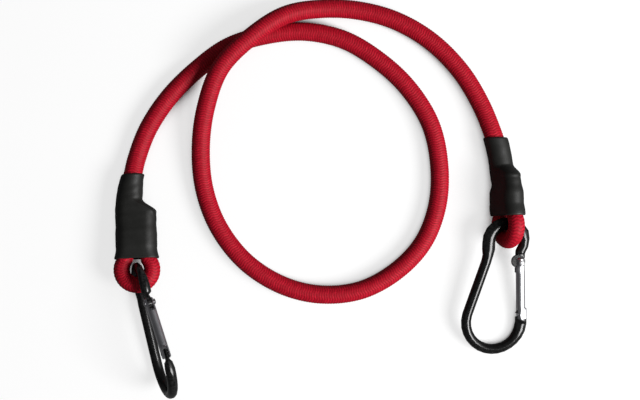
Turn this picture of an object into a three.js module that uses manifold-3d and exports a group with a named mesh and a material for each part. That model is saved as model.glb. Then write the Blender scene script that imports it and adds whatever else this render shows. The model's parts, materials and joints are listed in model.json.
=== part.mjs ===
// Elastic luggage cord: a braided rubber cord with a seized eye and a snap hook at each end.
// Millimetres, +Z up. The cord lies loose on a table at z = 0, seen from above in the photograph.
import * as THREE from 'three';
import { mergeVertices } from 'three/addons/utils/BufferGeometryUtils.js';
import Module from 'manifold-3d';

const wasm = await Module();
wasm.setup();
const { smoothstep, degToRad, lerp } = THREE.MathUtils;

// Fits
const clearance = 0.3;

// Cord
const cordDiameter = 10.4;
const sheathThickness = 1.2;
const cordSides = 10;
const cordFacetLength = 20.8;
const cordRadius = cordDiameter / 2;

// Eye: the cord's end folded back on itself
const eyeRadius = 8.7;
const eyeArcEnd = degToRad(40);
const eyeStrandDiameter = 9.5;
const seizeStart = 21.5;
const strandFacetLength = 3.5;

// Crimp band round the two strands
const bandWidth = 6;
const bandThickness = 0.8;
const bandSlit = 3;

// Heat-shrink sleeve
const sleeveWall = 0.8;
const sleeveSides = 18;
const sleeveStepLength = 8;
const mouthFlare = 0.6;
const hemFlare = 0.45;
const joinDepth = 4;

// Hook body: one rod, bent and flattened at both ends
const rodDiameter = 5.8;
const rodSides = 12;
const smallBendRadius = 10.5;
const wideBendRadius = 16.2;
const bendSpacing = 46.2;
const wideBendOffset = 8.3;
const spineSlant = degToRad(21);
const smallBendWidth = 7.6;
const smallBendThickness = 4.8;
const flatFadeLength = 4.5;
const noseWidth = 7.0;
const noseSwellLength = 17.4;
const noseTipLength = 1.2;
const noseTipDraw = 0.6;
const tongueThickness = 2.2;
const neckLength = 3;
const hingeTongueRoot = 2;
const hingeTaperLength = 1.4;
const spineBlendLength = 5;
const rodFineStep = 0.7;
const rodCoarseStep = 3.6;

// Gate
const gateDiameter = 5.2;
const gateHingeEnd = 9.8;
const gatePivotDepth = 12.4;
const gateHeadLength = 5.8;
const gateHeadFlare = 1.3;
const gateHeadRamp = 1;
const gateChamfer = 0.5;
const gateSides = 16;
const gateLobe = 0.9;
const gateLobeDepth = 16.4;
const gateLobeLength = 5;
const gateEndGap = 0.5;
const hingeSlotDepth = 5.2;
const camRadius = 3.9;
const camShiftIn = 1.2;
const camShiftUp = 0.6;
const rivetDiameter = 2.0;
const rivetHeadDiameter = 3.4;
const rivetHeadHeight = 0.7;
const latchPinDiameter = 1.7;
const latchPinSetback = 3.2;
const noseTongueLength = 5.6;
const noseSlotMargin = 0.9;

// Plunger and spring inside the gate
const boreDiameter = 2.6;
const plungerLength = 7;
const plungerTipHeight = 0.6;
const springCoils = 8;
const springPitch = 1.3;
const springWire = 0.4;

const gateLine = wideBendRadius - wideBendOffset;
const gateNoseEnd = bendSpacing - gateEndGap;
const tongueSlot = tongueThickness + 2 * clearance;
const boreLength = plungerLength + springCoils * springPitch + springWire + 3 * clearance;

// The two ends. seat is the middle of the eye's bend, where the hook hangs.
const ends = [
  {
    side: 'left',
    seat: [-104.5, -9.8, 13.5],
    sleeveTurn: 2,
    sleeveDrop: 6.0,
    eyeRoll: 0,
    sleeveStart: 14.9,
    sleeveLength: 48.5,
    tailTop: 41.5,
    bandAt: 26,
    bendFrom: 40,
    mouthShift: [4.2, 0.3],
    mouthLoose: [2.2, 0],
    mouthDraw: 0.9,
    bulgeFade: [7, 12],
    hookTurn: 19.8,
    hookPitch: 15.8,
    hookRoll: 70,
    hookShift: [0.5, -1.65, -1.9],
  },
  {
    side: 'right',
    seat: [107.1, 15.6, 13.8],
    sleeveTurn: 1,
    sleeveDrop: 2.3,
    eyeRoll: 64,
    sleeveStart: 14.1,
    sleeveLength: 44.9,
    tailTop: 35.6,
    bandAt: 23.4,
    bendFrom: 31.1,
    mouthShift: [-1.2, 3.6],
    mouthLoose: [0.43, -0.9],
    mouthDraw: 0,
    bulgeFade: [6, 6],
    hookTurn: 1.7,
    hookPitch: -8.2,
    hookRoll: -8,
    hookShift: [-0.5, -1.1, -2.0],
  },
];

// Route of the free cord on the table, from the left sleeve to the right one. The strand that comes
// round from below crosses over the first one in a long low hump.
const cordRoute = [
  [-106.0, 62.0, 5.5],
  [-99.5, 79.2, 5.4],
  [-87.4, 97.6, 5.4],
  [-70.8, 114.1, 5.4],
  [-53.3, 126.7, 5.4],
  [-33.7, 133.1, 5.4],
  [-10.1, 135.6, 5.4],
  [13.0, 131.0, 5.4],
  [33.1, 119.2, 5.4],
  [50.4, 103.1, 5.4],
  [63.4, 82.1, 5.4],
  [68.4, 58.8, 5.4],
  [67.3, 35.5, 5.4],
  [59.2, 14.3, 5.4],
  [44.1, -2.0, 5.4],
  [23.4, -13.3, 5.4],
  [-0.3, -15.8, 5.4],
  [-22.5, -10.3, 5.4],
  [-43.3, 3.1, 5.4],
  [-58.6, 22.7, 5.4],
  [-66.8, 44.4, 5.5],
  [-68.8, 67.4, 7.7],
  [-65.6, 91.0, 12.3],
  [-56.8, 113.7, 16.3],
  [-39.5, 131.3, 16.4],
  [-20.4, 144.0, 12.5],
  [-0.3, 148.3, 7.9],
  [21.7, 147.7, 5.6],
  [43.2, 141.9, 5.4],
  [63.5, 130.1, 5.4],
  [80.8, 112.6, 5.4],
  [92.6, 93.1, 5.5],
];

// A closed solid skinned over rings of points that all run the same way round
function loft(rings) {
  const count = rings[0].length;
  const points = rings.flat();
  const index = [];
  for (let ring = 0; ring + 1 < rings.length; ring++) {
    for (let k = 0; k < count; k++) {
      const a = ring * count + k;
      const b = ring * count + (k + 1) % count;
      index.push(a, b, b + count, a, b + count, a + count);
    }
  }
  const last = (rings.length - 1) * count;
  for (let k = 1; k + 1 < count; k++) {
    index.push(0, k + 1, k);
    index.push(last, last + k, last + k + 1);
  }
  return facingOut(new THREE.BufferGeometry().setFromPoints(points).setIndex(index));
}

// An open-ended shell between two lofts with the same number of rings and points
function loftShell(outer, inner) {
  const count = outer[0].length;
  const levels = outer.length;
  const points = [...outer.flat(), ...inner.flat()];
  const inside = levels * count;
  const index = [];
  const quad = (a, b, c, d) => index.push(a, b, c, a, c, d);
  for (let k = 0; k < count; k++) {
    const next = (k + 1) % count;
    for (let ring = 0; ring + 1 < levels; ring++) {
      const low = ring * count;
      const high = low + count;
      quad(low + k, low + next, high + next, high + k);
      quad(inside + low + next, inside + low + k, inside + high + k, inside + high + next);
    }
    const top = (levels - 1) * count;
    quad(next, k, inside + k, inside + next);
    quad(top + k, top + next, inside + top + next, inside + top + k);
  }
  return facingOut(new THREE.BufferGeometry().setFromPoints(points).setIndex(index));
}

function signedVolume(geometry) {
  const corner = [new THREE.Vector3(), new THREE.Vector3(), new THREE.Vector3()];
  const position = geometry.getAttribute('position');
  const index = geometry.getIndex();
  let volume = 0;
  for (let k = 0; k < index.count; k += 3) {
    corner.forEach((point, side) => point.fromBufferAttribute(position, index.getX(k + side)));
    volume += corner[0].dot(corner[1].clone().cross(corner[2])) / 6;
  }
  return volume;
}

function facingOut(geometry) {
  if (signedVolume(geometry) < 0) {
    const flipped = Array.from(geometry.getIndex().array).reverse();
    geometry.setIndex(flipped);
  }
  return geometry;
}

function solidOf(geometry) {
  const bare = new THREE.BufferGeometry();
  bare.setAttribute('position', geometry.getAttribute('position'));
  bare.setIndex(geometry.getIndex());
  const merged = mergeVertices(bare);
  const source = merged.getIndex().array;
  const triangles = [];
  for (let k = 0; k < source.length; k += 3) {
    const [a, b, c] = source.slice(k, k + 3);
    if (a !== b && b !== c && c !== a) triangles.push(a, b, c);
  }
  const vertProperties = Float32Array.from(merged.getAttribute('position').array);
  const triVerts = Uint32Array.from(triangles);
  return new wasm.Manifold(new wasm.Mesh({ numProp: 3, vertProperties, triVerts }));
}

function geometryOf(solid) {
  const { vertProperties, triVerts } = solid.getMesh();
  const geometry = new THREE.BufferGeometry();
  geometry.setAttribute('position', new THREE.BufferAttribute(Float32Array.from(vertProperties), 3));
  return geometry.setIndex(Array.from(triVerts));
}

function cut(body, ...tools) {
  return geometryOf(tools.reduce((left, tool) => left.subtract(solidOf(tool)), solidOf(body)));
}

function join(...bodies) {
  return geometryOf(bodies.map(solidOf).reduce((sum, next) => sum.add(next)));
}

function box(width, depth, height, x, y, z) {
  return new THREE.BoxGeometry(width, depth, height).translate(x, y, z);
}

// A round bar across the hook's plane
function crossBar(diameter, length, x, y, sides = 14) {
  const bar = new THREE.CylinderGeometry(diameter / 2, diameter / 2, length, sides);
  return bar.rotateX(Math.PI / 2).translate(x, y, 0);
}

// A round bar along the gate
function gateBar(diameter, from, to, sides = 12) {
  const bar = new THREE.CylinderGeometry(diameter / 2, diameter / 2, to - from, sides);
  return bar.translate(gateLine, -(from + to) / 2, 0);
}

const paint = (color, roughness, metalness = 0) => ({ color, roughness, metalness });
const finishes = {
  sheath: paint(0xb4192d, 0.75),
  core: paint(0xd9cfae, 0.8),
  sleeve: paint(0x2d2d2b, 0.55),
  band: paint(0x9a9a98, 0.4, 1),
  hook: paint(0x121212, 0.25, 0.3),
  gate: paint(0xb9b9c0, 0.3, 1),
  steel: paint(0xa8a8a8, 0.35, 1),
};

function piece(name, geometry, finish) {
  const mesh = new THREE.Mesh(geometry, new THREE.MeshStandardMaterial(finishes[finish]));
  mesh.name = name;
  return mesh;
}

// Strands of the eye, in the end's own frame: x from the main strand to the tail, y towards the
// free cord along the sleeve, z across the eye's plane, with the hook's seat at the origin.

const eyeArcTop = eyeRadius * (1 + Math.sin(eyeArcEnd));

// The cord is drawn thin in the eye and under the band, and swells to its full size above them
function strandRadius(y, end) {
  const swellFrom = end.bandAt + bandWidth / 2 + strandFacetLength;
  const swell = smoothstep(y, swellFrom, swellFrom + 2 * strandFacetLength);
  return lerp(eyeStrandDiameter / 2, cordRadius, swell);
}

function strandOffset(y, end) {
  const wide = eyeRadius * Math.cos(eyeArcEnd);
  return lerp(wide, strandRadius(y, end) + clearance / 2, smoothstep(y, eyeArcTop, seizeStart));
}

function tailCentre(y, end) {
  return new THREE.Vector3(strandOffset(y, end), y, 0);
}

function mainCentre(y, end) {
  const mouth = end.sleeveStart + end.sleeveLength;
  const bend = (Math.max(y - end.bendFrom, 0) / (mouth - end.bendFrom)) ** 2;
  return new THREE.Vector3(bend * end.mouthShift[0] - strandOffset(y, end), y, bend * end.mouthShift[1]);
}

function joinHeight(end) {
  return end.sleeveStart + end.sleeveLength - joinDepth;
}

function eyePath(end) {
  const points = [];
  const arcSteps = 10;
  const mainTop = joinHeight(end) - clearance / 2;
  const mainSteps = Math.ceil((mainTop - eyeArcTop) / strandFacetLength);
  for (let k = -1; k < mainSteps; k++) {
    points.push(mainCentre(lerp(mainTop, eyeArcTop, k / mainSteps), end));
  }
  for (let k = 0; k <= arcSteps; k++) {
    const angle = lerp(Math.PI - eyeArcEnd, 2 * Math.PI + eyeArcEnd, k / arcSteps);
    points.push(new THREE.Vector3(Math.cos(angle) * eyeRadius, eyeRadius * (1 + Math.sin(angle)), 0));
  }
  const tailSteps = Math.ceil((end.tailTop - eyeArcTop) / strandFacetLength);
  for (let k = 1; k <= tailSteps; k++) {
    points.push(tailCentre(lerp(eyeArcTop, end.tailTop, k / tailSteps), end));
  }
  return points;
}

// Rings round a path that stays near the plane z = 0. Its first point only gives the direction.
function pathRings(points, radiusAt, sides) {
  const across = new THREE.Vector3(0, 0, 1);
  return points.slice(1).map((point, k) => {
    const after = points[Math.min(k + 2, points.length - 1)];
    const along = after.clone().sub(points[k]).normalize();
    const side = along.clone().cross(across).normalize();
    const up = side.clone().cross(along);
    return ringAt(point, side, up, radiusAt(point.y), radiusAt(point.y), sides);
  });
}

function ringAt(centre, side, up, width, height, sides) {
  return Array.from({ length: sides }, (unused, k) => {
    const angle = (k + 0.5) / sides * 2 * Math.PI;
    const point = centre.clone().addScaledVector(side, width * Math.cos(angle));
    return point.addScaledVector(up, height * Math.sin(angle));
  });
}

function eyeSheath(end) {
  const path = eyePath(end);
  const outer = pathRings(path, (y) => strandRadius(y, end), cordSides);
  const inner = pathRings(path, (y) => strandRadius(y, end) - sheathThickness, cordSides);
  return loftShell(outer, inner);
}

function eyeCore(end) {
  const shrink = sheathThickness + clearance;
  return loft(pathRings(eyePath(end), (y) => strandRadius(y, end) - shrink, cordSides));
}

// A taut outline round two points of one level, offset by reach
function tautRing(from, to, reach, sides) {
  const span = to.clone().sub(from);
  return Array.from({ length: sides }, (unused, k) => {
    const angle = (k + 0.5) / sides * 2 * Math.PI;
    const outward = new THREE.Vector3(Math.cos(angle), 0, Math.sin(angle));
    const anchor = outward.dot(span) > 0 ? to : from;
    return anchor.clone().addScaledVector(outward, reach);
  });
}

function crimpBand(end) {
  const inset = eyeStrandDiameter / 2 + clearance;
  const levels = [end.bandAt - bandWidth / 2, end.bandAt + bandWidth / 2];
  const rings = (reach) => levels.map((y) => (
    tautRing(mainCentre(y, end), tailCentre(y, end), reach, sleeveSides)
  ));
  const hoop = loftShell(rings(inset + bandThickness), rings(inset));
  const slit = box(bandSlit, 2 * bandWidth, 4 * cordDiameter, 0, end.bandAt, -2 * cordDiameter);
  return cut(hoop, slit);
}

function sleeve(end) {
  const top = end.sleeveStart + end.sleeveLength;
  const bandReach = bandWidth / 2 + clearance;
  const bulge = clearance + bandThickness;
  const stepEnd = end.tailTop + sleeveStepLength;
  const bulgeStart = end.bandAt - bandReach - end.bulgeFade[0];
  const bulgeEnd = end.bandAt + bandReach + end.bulgeFade[1];
  const levels = [
    end.sleeveStart,
    lerp(end.sleeveStart, bulgeStart, 0.5),
    bulgeStart,
    end.bandAt - bandReach,
    end.bandAt + bandReach,
    bulgeEnd,
    lerp(bulgeEnd, end.tailTop, 0.6),
    end.tailTop + clearance,
    lerp(end.tailTop, stepEnd, 0.35),
    lerp(end.tailTop, stepEnd, 0.7),
    stepEnd,
    lerp(stepEnd, top, 0.5),
    top,
  ];
  const loose = new THREE.Vector3(end.mouthLoose[0], 0, end.mouthLoose[1]);
  const rings = (wall) => levels.map((y) => {
    const main = mainCentre(y, end);
    const draw = 1 - end.mouthDraw * smoothstep(y, stepEnd, top);
    const slack = main.clone().addScaledVector(loose, draw);
    const tail = tailCentre(y, end).lerp(slack, smoothstep(y, end.tailTop, stepEnd));
    const rise = smoothstep(y, bulgeStart, end.bandAt - bandReach);
    const swell = bulge * rise * (1 - smoothstep(y, end.bandAt + bandReach, bulgeEnd));
    const mouth = mouthFlare * smoothstep(y, end.tailTop, top);
    const hem = hemFlare * (1 - smoothstep(y, end.sleeveStart, seizeStart));
    const reach = strandRadius(y, end) + clearance + swell + mouth + hem + wall;
    return tautRing(main, tail, reach, sleeveSides);
  });
  return loftShell(rings(sleeveWall), rings(0));
}

// Hook, in its own frame: the eye's strand passes through the origin, the gate is at +x, the wide
// bend at -y, and the rod's middle lies in the plane z = 0.

function rodCentreLine() {
  const line = new THREE.Path();
  const wideStart = Math.PI - spineSlant;
  const spineEnd = new THREE.Vector2(
    -wideBendOffset + wideBendRadius * Math.cos(wideStart),
    -bendSpacing + wideBendRadius * Math.sin(wideStart),
  );
  const spineTop = (rise) => [spineEnd.x + rise * Math.tan(spineSlant), spineEnd.y + rise];
  const spineRise = (-smallBendRadius - spineEnd.x) / Math.tan(spineSlant);
  const shoulder = gatePivotDepth - camShiftUp - camRadius;
  line.moveTo(gateLine, -shoulder - hingeTongueRoot);
  line.lineTo(gateLine, -shoulder);
  line.bezierCurveTo(gateLine, -shoulder / 2, smallBendRadius, -shoulder / 2, smallBendRadius, 0);
  line.absarc(0, 0, smallBendRadius, 0, Math.PI, false);
  const blendEnd = spineTop(spineRise - spineBlendLength);
  line.bezierCurveTo(-smallBendRadius, -spineBlendLength / 2, ...spineTop(spineRise), ...blendEnd);
  line.lineTo(spineEnd.x, spineEnd.y);
  line.absarc(-wideBendOffset, -bendSpacing, wideBendRadius, wideStart, 2 * Math.PI, false);
  line.lineTo(gateLine, -bendSpacing + noseTongueLength);
  return line;
}

// Half width in the hook's plane and half thickness across it, at a distance along the rod
function rodSection(along, total, smallBendMiddle) {
  const half = rodDiameter / 2;
  const flat = tongueThickness / 2;
  const bendLength = Math.PI * smallBendRadius / 2;
  const pastBend = Math.abs(along - smallBendMiddle) - bendLength;
  const bend = 1 - smoothstep(pastBend, 0, flatFadeLength);
  const nose = total - noseTongueLength;
  const swell = smoothstep(along, nose - noseSwellLength, nose - neckLength);
  const tip = noseWidth / 2 * Math.sqrt(1 - noseTipDraw * smoothstep(along, total - noseTipLength, total));
  let width = lerp(half, smallBendWidth / 2, bend);
  let thickness = lerp(half, smallBendThickness / 2, bend);
  width = lerp(width, tip, swell);
  thickness = lerp(thickness, flat, smoothstep(along, nose - neckLength, nose - clearance));
  const hingeTaper = 1 - smoothstep(along, hingeTongueRoot, hingeTongueRoot + hingeTaperLength);
  thickness = lerp(thickness, flat, hingeTaper);
  return [width, thickness];
}

function hookBody() {
  const line = rodCentreLine();
  const total = line.getLength();
  const lengths = line.getCurveLengths();
  const smallBendMiddle = (lengths[1] + lengths[2]) / 2 + (lengths[1] - lengths[0]) / 2;
  const up = new THREE.Vector3(0, 0, 1);
  const hingeTaperEnd = hingeTongueRoot + hingeTaperLength + rodFineStep;
  const neckStart = total - noseTongueLength - neckLength - rodFineStep;
  const stations = [];
  for (let along = 0; along < total; ) {
    stations.push(along);
    along += along < hingeTaperEnd || along > neckStart ? rodFineStep : rodCoarseStep;
  }
  stations.push(total);
  const rings = stations.map((along) => {
    const at = line.getPointAt(along / total);
    const tangent = line.getTangentAt(along / total);
    const side = new THREE.Vector3(tangent.y, -tangent.x, 0);
    const [width, thickness] = rodSection(along, total, smallBendMiddle);
    return ringAt(new THREE.Vector3(at.x, at.y, 0), side, up, width, thickness, rodSides);
  });
  const camY = camShiftUp - gatePivotDepth;
  const cam = crossBar(2 * camRadius, tongueThickness, gateLine - camShiftIn, camY, 20);
  const latchY = latchPinSetback - bendSpacing;
  const latchHole = latchPinDiameter + 2 * clearance;
  const notch = box(noseWidth, latchHole, rodDiameter, gateLine - noseWidth / 2, latchY, 0);
  const notchEnd = crossBar(latchHole, rodDiameter, gateLine, latchY);
  const pivotHole = crossBar(rivetDiameter + 2 * clearance, rodDiameter, gateLine, -gatePivotDepth);
  return cut(join(loft(rings), cam), notch, notchEnd, pivotHole);
}

function gate() {
  const half = gateDiameter / 2;
  const narrow = half - gateChamfer;
  const headFrom = gateNoseEnd - gateHeadLength;
  const lobe = [0, 0.25, 0.5, 0.75, 1].map((t) => {
    const depth = gateLobeDepth + gateLobeLength * (t - 0.5);
    return [depth, half + gateLobe * Math.sqrt(Math.max(Math.sin(Math.PI * t), 0)), half, half];
  });
  const stations = [
    [gateHingeEnd, narrow, narrow, narrow],
    [gateHingeEnd + gateChamfer, half, half, half],
    ...lobe,
    [headFrom - gateHeadRamp, half, half, half],
    [headFrom, half, half + gateHeadFlare, half],
    [gateNoseEnd - gateChamfer, half, half + gateHeadFlare, half],
    [gateNoseEnd, narrow, narrow + gateHeadFlare, narrow],
  ];
  const rings = stations.map(([depth, inward, outward, thickness]) => (
    Array.from({ length: gateSides }, (unused, k) => {
      const angle = (k + 0.5) / gateSides * 2 * Math.PI;
      const reach = Math.cos(angle) > 0 ? outward : inward;
      return new THREE.Vector3(gateLine + reach * Math.cos(angle), -depth, thickness * Math.sin(angle));
    })
  ));
  const slotWidth = 4 * gateDiameter;
  const hingeSlotEnd = gatePivotDepth + hingeSlotDepth;
  const hingeSlot = box(slotWidth, hingeSlotEnd, tongueSlot, gateLine, -hingeSlotEnd / 2, 0);
  const noseSlotFrom = bendSpacing - noseTongueLength - noseSlotMargin;
  const noseSlot = box(slotWidth, noseSlotFrom, tongueSlot, gateLine, -noseSlotFrom * 1.5, 0);
  const bore = gateBar(boreDiameter, gatePivotDepth, plungerFrom() + boreLength);
  const through = 2 * gateDiameter;
  const rivetHole = crossBar(rivetDiameter + 2 * clearance, through, gateLine, -gatePivotDepth);
  const pinY = latchPinSetback - bendSpacing;
  const pinHole = crossBar(latchPinDiameter + 2 * clearance, through, gateLine, pinY);
  return cut(loft(rings), hingeSlot, noseSlot, bore, rivetHole, pinHole);
}

// Depth of the plunger's tip, just clear of the cam
function plungerFrom() {
  const camReach = Math.sqrt(camRadius ** 2 - camShiftIn ** 2) - camShiftUp;
  return gatePivotDepth + camReach + clearance;
}

function plunger() {
  const radius = boreDiameter / 2 - clearance;
  const profile = new THREE.Path();
  profile.moveTo(0, -plungerLength);
  profile.lineTo(radius, -plungerLength);
  profile.absellipse(0, -plungerTipHeight, radius, plungerTipHeight, 0, Math.PI / 2, false);
  const body = new THREE.LatheGeometry(profile.getPoints(4), 12);
  return geometryOf(solidOf(body)).translate(gateLine, -plungerFrom(), 0);
}

class SpringCurve extends THREE.Curve {
  getPoint(t, target = new THREE.Vector3()) {
    const angle = t * springCoils * 2 * Math.PI;
    const radius = boreDiameter / 2 - clearance - springWire / 2;
    return target.set(radius * Math.cos(angle), -t * springCoils * springPitch, radius * Math.sin(angle));
  }
}

function polygon(radius, sides) {
  const outline = new THREE.Shape();
  for (let k = 0; k < sides; k++) {
    const angle = (k + 0.5) / sides * 2 * Math.PI;
    const corner = [radius * Math.cos(angle), radius * Math.sin(angle)];
    if (k === 0) outline.moveTo(...corner);
    else outline.lineTo(...corner);
  }
  outline.closePath();
  return outline;
}

function gateSpring() {
  const wire = polygon(springWire / 2, 5);
  const coil = new THREE.ExtrudeGeometry(wire, { steps: springCoils * 8, extrudePath: new SpringCurve() });
  const top = plungerFrom() + plungerLength + clearance + springWire / 2;
  return coil.translate(gateLine, -top, 0);
}

function leastSpringGap() {
  const points = new SpringCurve().getPoints(springCoils * 16);
  let least = Infinity;
  points.forEach((point, k) => {
    for (const other of points.slice(k + 12)) least = Math.min(least, point.distanceTo(other));
  });
  return least - springWire;
}

function pivotRivet() {
  const half = gateDiameter / 2 + clearance;
  const domeSteps = 3;
  const upper = [new THREE.Vector2(rivetDiameter / 2, half)];
  for (let k = domeSteps; k >= 0; k--) {
    const angle = k / domeSteps * Math.PI / 2;
    const rise = half + rivetHeadHeight * Math.cos(angle);
    upper.push(new THREE.Vector2(rivetHeadDiameter / 2 * Math.sin(angle), rise));
  }
  const lower = upper.map((point) => new THREE.Vector2(point.x, -point.y)).reverse();
  const body = geometryOf(solidOf(new THREE.LatheGeometry([...lower, ...upper], 14)));
  return body.rotateX(Math.PI / 2).translate(gateLine, -gatePivotDepth, 0);
}

function latchPin() {
  return crossBar(latchPinDiameter, gateDiameter, gateLine, latchPinSetback - bendSpacing);
}

// Axes of a hook from its turn on the table, its pitch up and its roll from flat to on edge
function hookFrame(end) {
  const turn = degToRad(end.hookTurn);
  const pitch = degToRad(end.hookPitch);
  const roll = degToRad(end.hookRoll);
  const level = new THREE.Vector3(Math.cos(turn), Math.sin(turn), 0);
  const ahead = new THREE.Vector3(Math.sin(turn), -Math.cos(turn), 0);
  const down = ahead.multiplyScalar(Math.cos(pitch)).setZ(Math.sin(pitch));
  const rise = level.clone().cross(down).negate();
  const x = level.multiplyScalar(Math.cos(roll)).addScaledVector(rise, Math.sin(roll));
  const y = down.negate();
  const z = x.clone().cross(y);
  const axes = new THREE.Matrix4().makeBasis(x, y, z);
  const shift = new THREE.Vector3(...end.hookShift).applyMatrix4(axes);
  return axes.setPosition(shift.add(new THREE.Vector3(...end.seat)));
}

// Axes of an eye and its sleeve
function eyeFrame(end) {
  const turn = degToRad(end.sleeveTurn);
  const drop = degToRad(end.sleeveDrop);
  const roll = degToRad(end.eyeRoll);
  const back = new THREE.Vector3(-Math.sin(turn), Math.cos(turn), 0);
  const y = back.multiplyScalar(Math.cos(drop)).setZ(-Math.sin(drop));
  const level = new THREE.Vector3(Math.cos(turn), Math.sin(turn), 0);
  const rise = level.clone().cross(y);
  const x = level.multiplyScalar(Math.cos(roll)).addScaledVector(rise, Math.sin(roll));
  const z = x.clone().cross(y);
  return new THREE.Matrix4().makeBasis(x, y, z).setPosition(...end.seat);
}

function placed(matrix, ...pieces) {
  const group = new THREE.Group();
  group.applyMatrix4(matrix);
  group.add(...pieces);
  return group;
}

function eyeGroup(end) {
  return placed(
    eyeFrame(end),
    piece(`${end.side}_eye_sheath`, eyeSheath(end), 'sheath'),
    piece(`${end.side}_eye_core`, eyeCore(end), 'core'),
    piece(`${end.side}_crimp_band`, crimpBand(end), 'band'),
    piece(`${end.side}_sleeve`, sleeve(end), 'sleeve'),
  );
}

function hookGroup(end) {
  return placed(
    hookFrame(end),
    piece(`${end.side}_hook_body`, hookBody(), 'hook'),
    piece(`${end.side}_gate`, gate(), 'gate'),
    piece(`${end.side}_pivot_rivet`, pivotRivet(), 'steel'),
    piece(`${end.side}_latch_pin`, latchPin(), 'steel'),
    piece(`${end.side}_plunger`, plunger(), 'steel'),
    piece(`${end.side}_gate_spring`, gateSpring(), 'steel'),
  );
}

// The free cord starts and ends inside the sleeves, face to face with the eyes' main strands
function freeCordCurve() {
  const inSleeve = ends.map((end) => {
    const start = joinHeight(end);
    return [start + clearance / 2, start + joinDepth / 2, start + joinDepth]
      .map((y) => mainCentre(y, end).applyMatrix4(eyeFrame(end)));
  });
  const onTable = cordRoute.map((point) => new THREE.Vector3(...point));
  const points = [...inSleeve[0], ...onTable, ...inSleeve[1].reverse()];
  return new THREE.CatmullRomCurve3(points, false, 'centripetal');
}

function freeCord() {
  const curve = freeCordCurve();
  curve.arcLengthDivisions = 1000;
  const steps = Math.round(curve.getLength() / cordFacetLength);
  const bore = cordRadius - sheathThickness;
  const tube = polygon(cordRadius, cordSides);
  tube.holes.push(polygon(bore, cordSides));
  const sheath = new THREE.ExtrudeGeometry(tube, { steps, extrudePath: curve });
  const rod = polygon(bore - clearance, cordSides);
  const core = new THREE.ExtrudeGeometry(rod, { steps, extrudePath: curve });
  return [piece('cord_sheath', sheath, 'sheath'), piece('cord_core', core, 'core')];
}

const bungeeCord = new THREE.Group();
bungeeCord.name = 'bungee_cord';
const heldPieces = [...ends.map(eyeGroup), ...ends.map(hookGroup)];
bungeeCord.add(...freeCord(), ...heldPieces);

// Puts the origin in the middle of the bottom of the box round the hooks, eyes and sleeves
const heldBox = new THREE.Box3();
heldPieces.forEach((group) => heldBox.expandByObject(group, true));
const heldMiddle = heldBox.getCenter(new THREE.Vector3());
bungeeCord.position.set(-heldMiddle.x, -heldMiddle.y, -heldBox.min.z);

console.log(`Least gap between the coils of the gate spring: ${leastSpringGap().toFixed(2)} mm`);
console.log(`Length of the free cord: ${freeCordCurve().getLength().toFixed(0)} mm`);

export default bungeeCord;
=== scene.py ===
import json
import math

import bpy
import numpy as np
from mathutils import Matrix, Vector


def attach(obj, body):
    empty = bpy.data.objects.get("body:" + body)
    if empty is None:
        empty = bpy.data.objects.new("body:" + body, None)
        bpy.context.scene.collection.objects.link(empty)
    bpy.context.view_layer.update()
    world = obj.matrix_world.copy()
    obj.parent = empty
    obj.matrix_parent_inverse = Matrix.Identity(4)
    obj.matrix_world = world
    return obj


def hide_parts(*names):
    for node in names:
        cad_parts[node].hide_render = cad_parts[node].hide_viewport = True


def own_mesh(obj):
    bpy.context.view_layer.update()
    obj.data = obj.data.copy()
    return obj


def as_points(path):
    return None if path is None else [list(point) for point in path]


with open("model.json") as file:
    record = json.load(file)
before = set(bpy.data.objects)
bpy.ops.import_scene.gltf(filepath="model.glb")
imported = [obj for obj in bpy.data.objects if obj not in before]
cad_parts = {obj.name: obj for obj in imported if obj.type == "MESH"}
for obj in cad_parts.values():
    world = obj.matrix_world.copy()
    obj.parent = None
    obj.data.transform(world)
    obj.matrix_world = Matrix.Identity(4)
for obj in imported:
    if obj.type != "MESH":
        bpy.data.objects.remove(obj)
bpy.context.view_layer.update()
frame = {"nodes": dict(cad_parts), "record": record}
nodes = frame["nodes"]
scene = bpy.context.scene
scene.view_settings.view_transform = "Standard"
print("frame loaded:", len(nodes), "CAD nodes")


# Camera: straight down on the table, 80 cm above it
cameraSetup = {
    "pictureMiddle": (-0.00120, 0.03835),  # point of the table in the middle of the picture
    "pictureWidth": 0.36864,  # taken in from left to right at the level of the cord
    "cordLevel": 0.0054,
    "height": 0.8,
    "sensorWidth": 36.0,
    "sightReach": 20.0,
}


def makeCamera(setup):
    data = bpy.data.cameras.new("tableCamera")
    camera = bpy.data.objects.new("tableCamera", data)
    scene.collection.objects.link(camera)
    camera.location = (*setup["pictureMiddle"], setup["height"])
    data.sensor_width = setup["sensorWidth"]
    data.lens = setup["sensorWidth"] * (setup["height"] - setup["cordLevel"]) / setup["pictureWidth"]
    data.clip_end = setup["sightReach"]
    scene.camera = camera


makeCamera(cameraSetup)
print("camera placed")


# Small helpers for curves and skins

def smoothStep(value, low, high):
    t = np.clip((value - low) / (high - low), 0.0, 1.0)
    return t * t * (3.0 - 2.0 * t)


def mix(a, b, t):
    return a + (b - a) * t


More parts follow.
